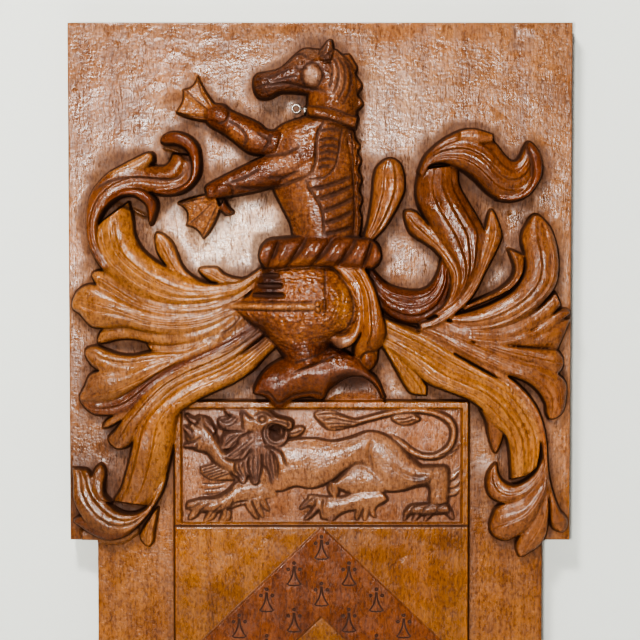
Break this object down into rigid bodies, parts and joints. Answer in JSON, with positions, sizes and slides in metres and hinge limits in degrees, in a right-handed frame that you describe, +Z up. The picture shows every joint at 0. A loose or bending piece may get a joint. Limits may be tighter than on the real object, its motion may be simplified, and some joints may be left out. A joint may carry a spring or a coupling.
{
  "type": "carved coat of arms",
  "caption": "Carved oak wall panel in relief: sea-horse crest on a twisted wreath, closed helmet, leaf mantling and a shield with a lion and an ermine chevron.",
  "frame": {"origin": "middle of the flat back face that lies against the wall", "axes": "+Z up along the panel's height, +Y out of the back into the wall, +X to the right seen from the front; the carving faces -Y"},
  "size_m": [0.602, 0.079, 0.9962],
  "materials": {
    "oak": "waxed, darker in the hollows",
    "ring_metal": "dull dark metal, worn bright on the rim",
    "plate_metal": "dull dark metal"
  },
  "bodies": {
    "root": {"carved_panel": "oak", "collar_ring": "ring_metal", "collar_plate": "plate_metal"}
  },
  "joints": []
}
